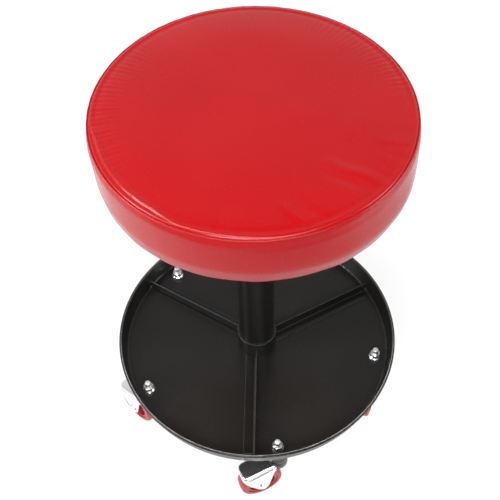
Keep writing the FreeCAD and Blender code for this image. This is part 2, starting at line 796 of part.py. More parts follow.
def tread():
    """Tyre of a caster wheel, slightly crowned, with rounded shoulders."""
    outer = wheel_diameter / 2
    half = wheel_width / 2
    edge = outer - wheel_crown
    inner = outer - tread_thickness
    run = half - wheel_shoulder
    crown = [
        Part.LineSegment(V(inner, 0, -half), V(edge - wheel_shoulder, 0, -half)).toShape(),
        rounded_shoulder(edge, -half, 1),
        Part.Arc(V(edge, 0, -run), V(outer, 0, 0), V(edge, 0, run)).toShape(),
        rounded_shoulder(edge, half, -1),
        Part.LineSegment(V(edge - wheel_shoulder, 0, half), V(inner, 0, half)).toShape(),
        Part.LineSegment(V(inner, 0, half), V(inner, 0, -half)).toShape(),
    ]
    face = Part.Face(Part.Wire(Part.__sortEdges__(crown)))
    return on_axle(face.revolve(ORIGIN, UP, 360))


def rounded_shoulder(edge, side, way):
    """Quarter-round edge of the tyre, from its side to its running face."""
    centre = V(edge - wheel_shoulder, 0, side + way * wheel_shoulder)
    middle = centre + V(1, 0, -way).normalize() * wheel_shoulder
    return Part.Arc(V(centre.x, 0, side), middle, V(edge, 0, centre.z)).toShape()


def wheel_core():
    """Hub, web and rim of a caster wheel."""
    outer = wheel_diameter / 2 - tread_thickness - press_gap
    bore = axle_diameter / 2 + running_gap
    boss = core_boss_diameter / 2
    rim = outer - core_rim
    half = core_width / 2
    boss_half = yoke_inner_width / 2 - wheel_side_gap
    web = core_web / 2
    return on_axle(turned([
        (bore, -boss_half, 0),
        (boss, -boss_half, 0),
        (boss, -web, 0),
        (rim, -web, 0),
        (rim, -half, 0),
        (outer, -half, 0),
        (outer, half, 0),
        (rim, half, 0),
        (rim, web, 0),
        (boss, web, 0),
        (boss, boss_half, 0),
        (bore, boss_half, 0),
    ]))


def axle():
    """Rivet through the yoke's legs, with a low round head at each end."""
    shaft = axle_diameter / 2
    end = leg_half_width + axle_head_height
    head = axle_head_diameter / 2
    return on_axle(turned([
        (0, -end, 0),
        (head, -end, axle_head_height / 2),
        (head, -leg_half_width, 0),
        (shaft, -leg_half_width, 0),
        (shaft, leg_half_width, 0),
        (head, leg_half_width, 0),
        (head, end, axle_head_height / 2),
        (0, end, 0),
    ]))


def make_casters():
    """Five casters, each set under its stud and turned to its heading."""
    fixed = {"caster_stems": [caster_stem()], "caster_nuts": [flange_nut()], "caster_cups": [swivel_cup()]}
    ball = Part.makeSphere(swivel_ball_diameter / 2, V(swivel_ball_circle / 2, 0, swivel_ball_height()))
    fixed["caster_balls"] = around(ball, swivel_ball_count)
    turning = {"yoke": yoke(), "axle": axle(), "tread": tread(), "core": wheel_core()}
    groups = {name: [] for name in fixed}
    for name, heading, (x, y) in zip(caster_names, caster_headings, stud_places()):
        for node, shapes in fixed.items():
            for shape in shapes:
                copy = spun(shape, heading)
                copy.translate(V(x, y, 0))
                groups[node].append(copy)
        for piece, shape in turning.items():
            copy = spun(shape, heading)
            copy.translate(V(x, y, 0))
            keep("caster_" + name + "_" + piece, copy)
    for node, copies in groups.items():
        keep(node, *copies)


make_base()
make_gas_spring(make_thrust_bearing())
make_seat_plate()
make_lever()
make_seat()
make_casters()

os.makedirs("parts", exist_ok=True)
for node, solids in nodes.items():
    shape = solids[0] if len(solids) == 1 else Part.makeCompound(solids)
    shape.exportStep("parts/" + node + ".step")
    print(node, len(solids), round(shape.Volume, 1), shape.isValid())
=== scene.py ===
import json
import math
import random
from collections import namedtuple

import bpy
import numpy as np
from mathutils import Matrix, Vector, noise

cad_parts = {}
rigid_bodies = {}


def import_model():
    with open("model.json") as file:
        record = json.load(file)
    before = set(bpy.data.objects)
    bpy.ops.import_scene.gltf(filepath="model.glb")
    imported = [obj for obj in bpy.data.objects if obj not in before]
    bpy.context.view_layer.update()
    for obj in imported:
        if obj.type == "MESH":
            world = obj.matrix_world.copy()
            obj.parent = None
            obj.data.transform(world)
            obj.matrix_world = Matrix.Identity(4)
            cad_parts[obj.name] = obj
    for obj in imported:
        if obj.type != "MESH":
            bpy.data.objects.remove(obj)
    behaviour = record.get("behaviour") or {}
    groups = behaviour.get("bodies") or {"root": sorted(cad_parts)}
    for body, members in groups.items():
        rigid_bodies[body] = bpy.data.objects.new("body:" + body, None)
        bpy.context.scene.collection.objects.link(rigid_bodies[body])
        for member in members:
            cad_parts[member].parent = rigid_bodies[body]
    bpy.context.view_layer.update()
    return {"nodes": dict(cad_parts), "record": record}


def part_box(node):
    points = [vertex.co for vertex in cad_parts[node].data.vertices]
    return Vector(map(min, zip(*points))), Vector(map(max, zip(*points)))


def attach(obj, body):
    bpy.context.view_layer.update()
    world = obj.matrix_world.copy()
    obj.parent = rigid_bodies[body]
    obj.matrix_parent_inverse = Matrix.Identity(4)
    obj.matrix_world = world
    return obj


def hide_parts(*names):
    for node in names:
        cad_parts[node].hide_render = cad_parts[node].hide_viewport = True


for start_object in list(bpy.data.objects):
    bpy.data.objects.remove(start_object)
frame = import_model()
scene = bpy.context.scene
MM = 0.001

# Camera, fitted to the outlines of the seat and the tray: degrees and millimetres, and pixels of the image
IMAGE_SIZE = 500.0
FOCAL_PIXELS = 955.5
CAMERA_ELEVATION = 52.1
CAMERA_DISTANCE = 1239.5
LOOK_HEIGHT = 320.1
CAMERA_PAN = -0.32
CAMERA_ROLL = -1.01
SENSOR = 36.0
CLIP_START = 50.0
CLIP_END = 50000.0

# Seat's places that come from the solids, in millimetres
cover_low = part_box("seat_cover")[0]
board_low, board_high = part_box("seat_board")
SEAT_BOTTOM = round(cover_low.z / MM, 3)
BOARD_BOTTOM = round(board_low.z / MM, 3)
BOARD_TOP = round(board_high.z / MM, 3)
BOARD_RADIUS = round(board_high.x / MM, 3)

# Seat cover, in millimetres
SEAM_HEIGHT = 566.5
SEAM_RADIUS = 182.3          # outermost point of the rolled seam
BEAD = 0.8                   # radius of the roll
GROOVE_RADIUS = 180.2        # stitched groove inside the roll
GROOVE_RISE = -0.3
CROWN_RISE = 4.8
SHOULDER_REACH = 5.5         # rounded edge of the top panel, down to the groove
SHOULDER_DROP = 3.2
RECESS_RADIUS = 181.9        # under the roll
RECESS_DROP = 1.3
BAND_RADIUS = 183.8
BAND_SWELL = 9.0             # below the seam, where the band is widest
SWELL_POWER = 1.3            # how full the band is between the recess and there
BAND_LEAN = 0.6              # inward, down to the tuck
TUCK_START = 0.69            # share of the band above its tuck
TUCK_POWER = 1.5
FOOT_RADIUS = 180.25
EDGE_RADIUS = 8.0            # rounded lower edge
HEM = 32.0                   # width of the part stapled under the board
HEM_ROUND = 0.4              # rounding of its cut end
HEM_SKEW = 0.3               # slant of that end
HEM_CLEARANCE = 0.08         # below the board
BOARD_EDGE = 8.0             # rounded lower edge of the board
BOARD_CLEARANCE = 0.15       # round the board
PAD_CLEARANCE = 0.1          # above the board
SWELL_CAP = 4.5              # most that the foam lifts the cover
STAPLES = 24

# Rings of the cushion's mesh, in millimetres and degrees, or as shares of the stretch that they divide
SEGMENTS = 240
THINNING = ((12.0, 8), (32.0, 4), (78.0, 2))    # within a radius, one segment in so many is left
FIRST_RING = 5.0
TOP_RINGS = 37
SHOULDER_SHARES = (0.18, 0.35, 0.50, 0.62, 0.72, 0.80, 0.87, 0.93, 0.975, 1.0)
SHOULDER_HELD = 0.7                             # beyond this share the seam holds the shoulder
ROLL_ANGLES = (155, 125, 95, 65, 35, 5, -25, -50)
SWELL_SHARES = (0.06, 0.14, 0.25, 0.38, 0.52, 0.68, 0.84, 1.0)
BAND_RINGS = 15
EDGE_ANGLES = (15, 32, 50, 68, 84)
HEM_START = 2.0                                 # first ring of the hem, inside the lower edge
HEM_RINGS = 7
LID_START = 6.0                                 # ring on the hem, from its cut end
BOARD_ANGLES = (30, 60, 90)
PAD_RINGS = ((160.0, 2), (130.0, 2), (90.0, 4), (50.0, 4), (20.0, 8))    # radius and thinning

# Stitches, in millimetres, with their uneven spacing as a share of the pitch
STITCH_SEED = 41
STITCH_PITCH = 4.6
STITCH_LENGTH = 3.4
STITCH_RADIUS = 0.38
STITCH_RISE = 0.05           # above the groove
STITCH_DIP = 0.75            # of the ends
STITCH_TAPER = 0.82          # share of the section that is lost at the ends
STITCH_UNEVEN = 0.06         # along the seam
STITCH_WANDER = 0.15         # across the seam
STITCH_SIDES = 8
STITCH_STEPS = 6

# Painted highlight: a light line along the inner crest of the tray's rim, where the lamp's reflection lies,
# in millimetres
RIM_BEAD = 2.2                 # from the outside of the rim to the crest
RIM_HIGHLIGHT = 0.22                  # how far the painted highlight reaches below the top of the crest
RIM_HIGHLIGHT_SOFT = 0.05
RIM_HIGHLIGHT_FRONT = (-70.0, 10.0)   # from front to back, where the painted highlight gets fainter
RIM_HIGHLIGHT_LEAST = 0.25            # share that is left at the back

# Dark swivel housing at the yokes' crowns, in millimetres
HOUSING_RADIUS = 16.4
HOUSING_SOFT = 0.2

# Widths over which materials round or wear the edges, in millimetres
FINE_EDGE = 0.4
MOULDED_EDGE = 0.5
PLATED_EDGE = 0.6
PAINT_EDGE = 0.7
TREAD_EDGE = 0.8
NUT_EDGE = 1.4
SHEET_BEND = 2.0
HOOD_BEND = 3.5
STEM_EDGE = 3.5

# Colours, linear
VINYL_DEEP = (0.32, 0.002, 0.004)
VINYL_RED = (0.36, 0.003, 0.005)
VINYL_PITS = (0.27, 0.001, 0.003)
THREAD_GROOVE_SHADE = (0.22, 0.003, 0.005)
THREAD_LIGHT = (0.34, 0.008, 0.010)
PAINT_DUST = (0.10, 0.098, 0.09)
# light colour of worn edges, and also of the painted highlight on the tray's rim
BARE_EDGE_AND_RIM_HIGHLIGHT = (0.34, 0.33, 0.31)
CHROME_DARK = (0.82, 0.82, 0.84)
CHROME_LIGHT = (0.92, 0.92, 0.94)
HOUSING_DARK = (0.050, 0.048, 0.046)
HOUSING_LIGHT = (0.085, 0.083, 0.080)
STEEL_DARK = (0.42, 0.42, 0.42)
STEEL_LIGHT = (0.60, 0.60, 0.60)
MOULDED_DARK = (0.014, 0.014, 0.014)
MOULDED_LIGHT = (0.026, 0.026, 0.025)
TREAD_DARK = (0.29, 0.012, 0.013)
TREAD_LIGHT = (0.36, 0.019, 0.019)
CORE_DARK = (0.26, 0.010, 0.012)
CORE_LIGHT = (0.36, 0.016, 0.018)
SCUFFED = (0.20, 0.06, 0.05)
WOOD_DARK = (0.34, 0.20, 0.10)
WOOD_MIDDLE = (0.52, 0.35, 0.19)
WOOD_LIGHT = (0.62, 0.45, 0.27)
WOOD_GLUE = (0.24, 0.14, 0.07)
WOOD_PORES = (0.20, 0.11, 0.05)
FOAM_PORE_SHADE = (0.62, 0.52, 0.30)
FOAM_LIGHT = (0.80, 0.74, 0.52)
FLOOR_FRONT = (0.17, 0.17, 0.17)
FLOOR_DARK = (0.26, 0.26, 0.26)
FLOOR_LIGHT = (0.28, 0.28, 0.28)

# Tones of the black paints and zincs, each from dark to light
BLACK = (0.006, 0.009)
TRAY_BLACK = (0.009, 0.012)
BRIGHT_ZINC = (0.62, 0.84)
DARK_ZINC = (0.050, 0.085)
STEM_ZINC = (0.84, 0.95)
NUT_ZINC = (0.70, 0.90)

Layer = namedtuple("Layer", "height strength depth")    # one bump of a material, its depth in millimetres
Ring = namedtuple("Ring", "radius height pinned segments")
Form = namedtuple("Form", "size middle width")          # a bell-shaped swelling
Arc = namedtuple("Arc", "start end soft")               # degrees round the seat, and a soft margin


def build_camera():
    """The photograph's view."""
    elevation = math.radians(CAMERA_ELEVATION)
    pan = math.radians(CAMERA_PAN)
    roll = math.radians(CAMERA_ROLL)
    forward = Vector((0, math.cos(elevation), -math.sin(elevation)))
    right = Vector((1, 0, 0))
    up = Vector((0, math.sin(elevation), math.cos(elevation)))
    place = Vector((0, 0, LOOK_HEIGHT)) - forward * CAMERA_DISTANCE
    ahead = forward * math.cos(pan) + right * math.sin(pan)
    side = right * math.cos(pan) - forward * math.sin(pan)
    axis_x = side * math.cos(roll) + up * math.sin(roll)
    axis_y = up * math.cos(roll) - side * math.sin(roll)
    data = bpy.data.cameras.new("camera")
    data.sensor_width = SENSOR
    data.lens = FOCAL_PIXELS * SENSOR / IMAGE_SIZE
    data.clip_start = CLIP_START * MM
    data.clip_end = CLIP_END * MM
    camera = bpy.data.objects.new("camera", data)
    turn = Matrix((axis_x, axis_y, -ahead)).transposed().to_4x4()
    camera.matrix_world = Matrix.Translation(place * MM) @ turn
    scene.collection.objects.link(camera)
    scene.camera = camera


def fill_ramp(node, stops):
    """Sets the stops of a colour ramp, each a place and a colour."""
    elements = node.color_ramp.elements
    while len(elements) < len(stops):
        elements.new(0.5)
    for element, (place, colour) in zip(elements, stops):
        element.position = place
        element.color = (*colour, 1.0)


def fill_range(node, low, high, start, end):
    """Sets a Map Range node to take start to low, and end to high."""
    for key, value in (("From Min", start), ("From Max", end), ("To Min", low), ("To Max", high)):
        node.inputs[key].default_value = value


class Nodes:
    """A small builder of a material's node tree."""

    EDGE_SAMPLES = 8
    WEAR_SAMPLES = 6
    MIX_COLOURS = (6, 7)     # the two colours among a Mix node's inputs
    MIX_RESULT = 2           # the colour among its outputs

    def __init__(self, name):
        self.material = bpy.data.materials.new(name)
        self.material.use_nodes = True
        self.tree = self.material.node_tree
        self.shader = self.tree.nodes["Principled BSDF"]
        self.coords = self.add("ShaderNodeTexCoord").outputs["Object"]

    def add(self, kind, **values):
        node = self.tree.nodes.new(kind)
        for key, value in values.items():
            setattr(node, key, value)
        return node

    def link(self, source, target):
        self.tree.links.new(source, target)

    def put(self, **values):
        """Constant values on the shader's own sockets."""
        for key, value in values.items():
            self.shader.inputs[key.replace("_", " ")].default_value = value

    def split(self):
        """The three coordinates, each by itself."""
        node = self.add("ShaderNodeSeparateXYZ")
        self.link(self.coords, node.inputs[0])
        return node.outputs

    def stretched(self, scale):
        node = self.add("ShaderNodeMapping")
        node.inputs["Scale"].default_value = scale
        self.link(self.coords, node.inputs["Vector"])
        return node.outputs["Vector"]

    def noise(self, scale, detail=3.0, rough=0.5, vector=None, distortion=0.0):
        node = self.add("ShaderNodeTexNoise")
        node.inputs["Scale"].default_value = scale
        node.inputs["Detail"].default_value = detail
        node.inputs["Roughness"].default_value = rough
        node.inputs["Distortion"].default_value = distortion
        self.link(vector or self.coords, node.inputs["Vector"])
        return node.outputs["Fac"]

    def cells(self, scale):
        node = self.add("ShaderNodeTexVoronoi")
        node.inputs["Scale"].default_value = scale
        self.link(self.coords, node.inputs["Vector"])
        return node.outputs["Distance"]

    def bands(self, scale, direction, distortion=0.0):
        node = self.add("ShaderNodeTexWave", wave_type="BANDS", bands_direction=direction)
        node.inputs["Scale"].default_value = scale
        node.inputs["Distortion"].default_value = distortion
        self.link(self.coords, node.inputs["Vector"])
        return node.outputs["Fac"]

    def ramp(self, source, *stops):
        node = self.add("ShaderNodeValToRGB")
        fill_ramp(node, stops)
        self.link(source, node.inputs["Fac"])
        return node.outputs["Color"]

    def span(self, source, low, high, start=0.0, end=1.0):
        """Maps the range of a value from start to end to another range, clamped."""
        node = self.add("ShaderNodeMapRange")
        fill_range(node, low, high, start, end)
        self.link(source, node.inputs["Value"])
        return node.outputs["Result"]

    def maths(self, operation, a, b):
        node = self.add("ShaderNodeMath", operation=operation)
        for socket, value in zip(node.inputs, (a, b)):
            if isinstance(value, float):
                socket.default_value = value
            else:
                self.link(value, socket)
        return node.outputs["Value"]

    def mix(self, factor, a, b):
        """From one colour to another, each a constant or an output."""
        node = self.add("ShaderNodeMix", data_type="RGBA")
        self.link(factor, node.inputs[0])
        for key, value in zip(self.MIX_COLOURS, (a, b)):
            if isinstance(value, tuple):
                node.inputs[key].default_value = (*value, 1.0)
            else:
                self.link(value, node.inputs[key])
        return node.outputs[self.MIX_RESULT]

    def near_axis(self, x, y, radius, soft):
        """One within a radius of an upright axis, zero outside it."""
        flat = self.add("ShaderNodeVectorMath", operation="MULTIPLY")
        flat.inputs[1].default_value = (1.0, 1.0, 0.0)
        self.link(self.coords, flat.inputs[0])
        away = self.add("ShaderNodeVectorMath", operation="DISTANCE")
        away.inputs[1].default_value = (x, y, 0.0)
        self.link(flat.outputs["Vector"], away.inputs[0])
        return self.span(away.outputs["Value"], 1.0, 0.0, start=radius - soft, end=radius + soft)

    def bevel(self, width, samples):
        """The surface's direction with its edges rounded, over a width in millimetres."""
        node = self.add("ShaderNodeBevel", samples=samples)
        node.inputs["Radius"].default_value = width * MM
        return node.outputs["Normal"]

    def bump(self, *layers, edge=None):
        """Stacks layers of bumps, over rounded edges if asked."""
        normal = self.bevel(edge, self.EDGE_SAMPLES) if edge else None
        for layer in layers:
            node = self.add("ShaderNodeBump")
            node.inputs["Strength"].default_value = layer.strength
            node.inputs["Distance"].default_value = layer.depth * MM
            self.link(layer.height, node.inputs["Height"])
            if normal:
                self.link(normal, node.inputs["Normal"])
            normal = node.outputs["Normal"]
        self.link(normal, self.shader.inputs["Normal"])

    def worn(self, width, start, end):
        """Zero on flat faces and one near convex edges."""
        geometry = self.add("ShaderNodeNewGeometry")
        dot = self.add("ShaderNodeVectorMath", operation="DOT_PRODUCT")
        self.link(self.bevel(width, self.WEAR_SAMPLES), dot.inputs[0])
        self.link(geometry.outputs["Normal"], dot.inputs[1])
        return self.span(dot.outputs["Value"], 1.0, 0.0, start, end)

    def colour(self, source):
        self.link(source, self.shader.inputs["Base Color"])

    def roughness(self, source):
        self.link(source, self.shader.inputs["Roughness"])


def red_vinyl():
    """Coated cloth: a fine pebble over a faint woven backing."""
    m = Nodes("red_vinyl")
    broad = m.noise(scale=7.0, detail=2.0)
    fine = m.noise(scale=420.0, detail=4.0, rough=0.6)
    pebble = m.cells(scale=760.0)
    warp, weft = (m.bands(scale=330.0, direction=axis, distortion=1.5) for axis in "XY")
    weave = m.maths("MULTIPLY", warp, weft)
    tone = m.ramp(broad, (0.3, VINYL_DEEP), (0.7, VINYL_RED))
    m.colour(m.mix(m.span(pebble, low=0.0, high=0.25, start=0.2, end=0.9), tone, VINYL_PITS))
    m.roughness(m.span(fine, low=0.19, high=0.28, start=0.3, end=0.7))
    m.put(Specular_IOR_Level=0.39)
    m.bump(
        Layer(pebble, strength=0.09, depth=0.3),
        Layer(weave, strength=0.06, depth=0.2),
        Layer(broad, strength=0.2, depth=2.0),
    )
    return m.material


def vinyl_thread():
    """Twisted thread of the seam, with painted shade in the grooves of its twist."""
    m = Nodes("seam_thread")
    twist = m.bands(scale=900.0, direction="DIAGONAL")
    # painted shade: darker where the twist's bump is low
    m.colour(m.ramp(twist, (0.1, THREAD_GROOVE_SHADE), (0.9, THREAD_LIGHT)))
    m.roughness(m.span(m.noise(scale=900.0), low=0.5, high=0.7))
    m.bump(Layer(twist, strength=0.5, depth=0.2))
    return m.material


def painted_rim_highlight(m, radius, crest):
    """Mask of the painted highlight: one above a rim's crest and within its radius, in metres, and fainter at
    the back.
    """
    coords = m.split()
    high = m.span(coords["Z"], low=0.0, high=1.0, start=crest, end=crest + RIM_HIGHLIGHT_SOFT * MM)
    inside = m.near_axis(0.0, 0.0, radius, RIM_HIGHLIGHT_SOFT * MM)
    front, back = (place * MM for place in RIM_HIGHLIGHT_FRONT)
    strength = m.span(coords["Y"], low=1.0, high=RIM_HIGHLIGHT_LEAST, start=front, end=back)
    return m.maths("MULTIPLY", m.maths("MULTIPLY", high, inside), strength)


def black_paint(name, tone, gloss, peel, wear=0.7, edge=PAINT_EDGE, specular=0.5, rim=None):
    """Baked paint on steel: orange peel, faint haze, dust specks and thin paint on edges.
    A rim, given by its radius and crest in metres, gets a painted highlight along its crest in the light edge
    colour."""
    m = Nodes(name)
    dark, light = tone
    haze = m.noise(scale=9.0, detail=4.0, rough=0.6)
    specks = m.cells(scale=240.0)
    warm_dark = (dark, dark * 0.92, dark * 0.86)
    warm_light = (light, light * 0.95, light * 0.9)
    paint = m.ramp(haze, (0.3, warm_dark), (0.72, warm_light))
    dusty = m.mix(m.span(specks, low=0.30, high=0.0, end=0.08), paint, PAINT_DUST)
    patches = m.span(m.noise(scale=70.0, detail=4.0, rough=0.7), low=0.55, high=1.0, start=0.40, end=0.60)
    thin = m.maths("MULTIPLY", m.worn(PAINT_EDGE, start=0.80, end=0.97), m.maths("MULTIPLY", patches, wear))
    # the painted highlight on the rim's crest joins the worn edges' mask and takes their light colour
    if rim:
        thin = m.maths("MAXIMUM", thin, m.maths("MULTIPLY", painted_rim_highlight(m, *rim), patches))
    m.colour(m.mix(thin, dusty, BARE_EDGE_AND_RIM_HIGHLIGHT))
    m.roughness(m.span(haze, *gloss, start=0.3, end=0.75))
    m.put(Specular_IOR_Level=specular)
    m.bump(Layer(m.noise(scale=520.0, detail=2.0), strength=peel, depth=0.3), edge=edge)
    return m.material


def chrome(name="chrome", housing=None):
    """Plated steel. Near a yoke's swivel axis the colour is dark and the finish duller, and a yoke's bends
    are wide.
    """
    m = Nodes(name)
    cloud = m.noise(scale=60.0, detail=4.0, rough=0.6)
    scratch = m.noise(scale=60.0, detail=3.0, rough=0.7, vector=m.stretched((1.0, 14.0, 9.0)))
    plated = m.ramp(cloud, (0.25, CHROME_DARK), (0.75, CHROME_LIGHT))
    gloss = m.span(m.maths("ADD", cloud, scratch), low=0.06, high=0.17, start=0.7, end=1.3)
    if housing:
        dull = m.near_axis(*housing, HOUSING_RADIUS * MM, HOUSING_SOFT * MM)
        plated = m.mix(dull, plated, m.ramp(cloud, (0.3, HOUSING_DARK), (0.7, HOUSING_LIGHT)))
        gloss = m.maths("ADD", gloss, m.maths("MULTIPLY", dull, 0.22))
    m.colour(plated)
    m.put(Metallic=1.0)
    m.roughness(gloss)
    m.bump(
        Layer(scratch, strength=0.04, depth=0.2),
        Layer(m.noise(scale=240.0, detail=2.0), strength=0.05, depth=0.3),
        edge=HOOD_BEND if housing else PLATED_EDGE,
    )
    return m.material


def zinc(name, tone, gloss, edge=FINE_EDGE):
    """Bright or dark zinc plating, a little cloudy."""
    m = Nodes(name)
    dark, light = ((value, value, value * 1.02) for value in tone)
    spangle = m.cells(scale=420.0)
    cloud = m.noise(scale=130.0, detail=4.0, rough=0.65)
    m.colour(m.ramp(cloud, (0.25, dark), (0.8, light)))
    m.put(Metallic=1.0)
    m.roughness(m.span(m.maths("ADD", spangle, cloud), *gloss, start=0.4, end=1.2))
    m.bump(Layer(cloud, strength=0.06, depth=0.2), edge=edge)
    return m.material


def turned_steel():
    """Steel with the fine rings of a lathe."""
    m = Nodes("turned_steel")
    lines = m.noise(scale=30.0, detail=4.0, rough=0.7, vector=m.stretched((0.3, 0.3, 60.0)))
    m.colour(m.ramp(m.noise(scale=45.0), (0.25, STEEL_DARK), (0.8, STEEL_LIGHT)))
    m.put(Metallic=1.0)
    m.roughness(m.span(lines, low=0.22, high=0.42, start=0.3, end=0.7))
    m.bump(Layer(lines, strength=0.12, depth=0.2), edge=FINE_EDGE)
    return m.material


def black_moulded(name, grain, gloss):
    """Moulded plastic or rubber with a fine eroded surface."""
    m = Nodes(name)
    texture = m.noise(scale=grain, rough=0.6)
    m.colour(m.ramp(m.noise(scale=25.0), (0.3, MOULDED_DARK), (0.75, MOULDED_LIGHT)))
    m.roughness(m.span(texture, *gloss, start=0.3, end=0.7))
    m.bump(Layer(texture, strength=0.25, depth=0.3), edge=MOULDED_EDGE)
    return m.material


def red_wheel(name, dark, light, gloss):
    """Moulded red polyurethane or plastic, scuffed and a little dusty."""
    m = Nodes(name)
    scuffs = m.noise(scale=180.0, detail=4.0, rough=0.75, vector=m.stretched((1.0, 1.0, 3.0)))
    tone = m.ramp(m.noise(scale=60.0, detail=4.0, rough=0.6), (0.3, dark), (0.75, light))
    m.colour(m.mix(m.span(scuffs, low=0.0, high=0.35, start=0.58, end=0.78), tone, SCUFFED))
    m.roughness(m.span(scuffs, *gloss, start=0.35, end=0.75))
    m.bump(
        Layer(m.noise(scale=500.0, detail=2.0), strength=0.10, depth=0.3),
        Layer(scuffs, strength=0.08, depth=0.4),
        edge=TREAD_EDGE,
    )
    return m.material


def plywood():
    """Long grain and pores, with glue lines between the plies."""
    m = Nodes("plywood")
    grain = m.noise(scale=22.0, detail=6.0, rough=0.65, vector=m.stretched((1.0, 16.0, 16.0)), distortion=0.6)
    pores = m.noise(scale=190.0, rough=0.7, vector=m.stretched((1.0, 12.0, 12.0)))
    wood = m.ramp(grain, (0.25, WOOD_DARK), (0.55, WOOD_MIDDLE), (0.8, WOOD_LIGHT))
    glue = m.span(m.bands(scale=130.0, direction="Z"), low=0.0, high=0.35, start=0.3, end=0.8)
    plies = m.mix(glue, wood, WOOD_GLUE)
    m.colour(m.mix(m.span(pores, low=0.0, high=0.5, start=0.6, end=0.75), plies, WOOD_PORES))
    m.roughness(m.span(grain, low=0.60, high=0.80))
    m.bump(Layer(grain, strength=0.15, depth=0.6), Layer(pores, strength=0.2, depth=0.3))
    return m.material


def foam():
    """Open pores of cut foam, with painted shade inside them."""
    m = Nodes("foam")
    pores = m.cells(scale=700.0)
    # painted shade: darker in the pores, where the bump is low
    m.colour(m.ramp(pores, (0.2, FOAM_PORE_SHADE), (0.8, FOAM_LIGHT)))
    m.roughness(m.span(pores, low=0.85, high=0.95))
    m.bump(Layer(pores, strength=0.6, depth=0.6))
    return m.material


def make_materials():
    """The materials of the record's slots."""
    return {
        "black_paint": black_paint("black_paint", BLACK, gloss=(0.22, 0.32), peel=0.08),
        "black_gloss": black_paint("black_gloss", BLACK, gloss=(0.14, 0.22), peel=0.05),
        "chrome": chrome(),
        "zinc": zinc("zinc", BRIGHT_ZINC, gloss=(0.10, 0.22)),
        "dark_zinc": zinc("dark_zinc", DARK_ZINC, gloss=(0.28, 0.40)),
        "steel": turned_steel(),
        "black_plastic": black_moulded("black_plastic", grain=900.0, gloss=(0.42, 0.58)),
        "black_rubber": black_moulded("black_rubber", grain=500.0, gloss=(0.60, 0.80)),
        "red_vinyl": red_vinyl(),
        "foam": foam(),
        "plywood": plywood(),
        "red_polyurethane": red_wheel("red_polyurethane", TREAD_DARK, TREAD_LIGHT, gloss=(0.30, 0.46)),
        "red_plastic": red_wheel("red_plastic", CORE_DARK, CORE_LIGHT, gloss=(0.28, 0.42)),
    }


def tray_paint():
    """Black paint with a painted highlight along the inner crest of the tray's rim."""
    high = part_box("tool_tray")[1]
    rim = (high.x - RIM_BEAD * MM, high.z - RIM_HIGHLIGHT * MM)
    return black_paint(
        "tray_paint", TRAY_BLACK, gloss=(0.22, 0.32), peel=0.08, wear=0.25, specular=0.38, rim=rim,
    )


def yoke_chrome(caster):
    """Chrome with the dark housing at a caster's swivel axis."""
    joints = {joint["name"]: joint for joint in frame["record"]["behaviour"]["joints"]}
    x, y = joints[caster + "_swivel"]["pos_m"][:2]
    return chrome("chrome_" + caster, housing=(x, y))


def paint_nodes(materials):
    """Each CAD piece takes its slot's material, or a finish of its own."""
    bent = black_paint("bent_paint", BLACK, gloss=(0.20, 0.28), peel=0.06, wear=0.35, edge=SHEET_BEND)
    own = {
        "tool_tray": tray_paint(),
        "caster_stems": zinc("zinc_caster_stems", STEM_ZINC, gloss=(0.32, 0.44), edge=STEM_EDGE),
        "caster_nuts": zinc("zinc_caster_nuts", NUT_ZINC, gloss=(0.16, 0.26), edge=NUT_EDGE),
    }
    for row in frame["record"]["subparts"]:
        name = row["node"]
        if name.endswith("_yoke"):
            material = yoke_chrome(name.removeprefix("caster_").removesuffix("_yoke"))
        elif name.startswith("divider"):
            material = bent
        else:
            material = own.get(name) or materials[row["material_slot"]]
        mesh = frame["nodes"][name].data
        mesh.materials.clear()
        mesh.materials.append(material)


def ring(radius, height, pinned, thinning=None):
    """A ring of the cushion, with fewer segments near the axis."""
    for limit, share in THINNING:
        if radius < limit:
            thinning = thinning or share
    return Ring(radius, height, pinned, SEGMENTS // (thinning or 1))


def top_rings():
    """The top panel, its shoulder and the stitched groove."""
    top = SEAM_HEIGHT + CROWN_RISE
    shoulder = GROOVE_RADIUS - SHOULDER_REACH
    shoulder_rise = GROOVE_RISE + SHOULDER_DROP
    yield ring(0.0, top, False)
    for radius in np.linspace(FIRST_RING, shoulder, TOP_RINGS):
        yield ring(radius, top - (CROWN_RISE - shoulder_rise) * (radius / shoulder) ** 2, False)
    for share in SHOULDER_SHARES:
        rise = GROOVE_RISE + SHOULDER_DROP * math.sqrt(1.0 - share ** 2)
        yield ring(shoulder + SHOULDER_REACH * share, SEAM_HEIGHT + rise, share > SHOULDER_HELD)


def band_rings():
    """The rolled seam, the recess under it and the side band, which is widest a little under the seam."""
    for turn in map(math.radians, ROLL_ANGLES):
        yield ring(SEAM_RADIUS - BEAD + BEAD * math.cos(turn), SEAM_HEIGHT + BEAD * math.sin(turn), True)
    yield ring(RECESS_RADIUS, SEAM_HEIGHT - RECESS_DROP, True)
    for share in SWELL_SHARES:
        swell = 1.0 - (1.0 - share) ** SWELL_POWER
        depth = RECESS_DROP + (BAND_SWELL - RECESS_DROP) * share
        yield ring(RECESS_RADIUS + (BAND_RADIUS - RECESS_RADIUS) * swell, SEAM_HEIGHT - depth, False)
    band_top = SEAM_HEIGHT - BAND_SWELL
    band_foot = SEAT_BOTTOM + EDGE_RADIUS
    for share in np.linspace(0.0, 1.0, BAND_RINGS)[1:]:
        tuck = max((share - TUCK_START) / (1.0 - TUCK_START), 0.0) ** TUCK_POWER
        radius = BAND_RADIUS - BAND_LEAN * share
        radius += (FOOT_RADIUS - radius) * tuck
        yield ring(radius, band_top + (band_foot - band_top) * share, False)


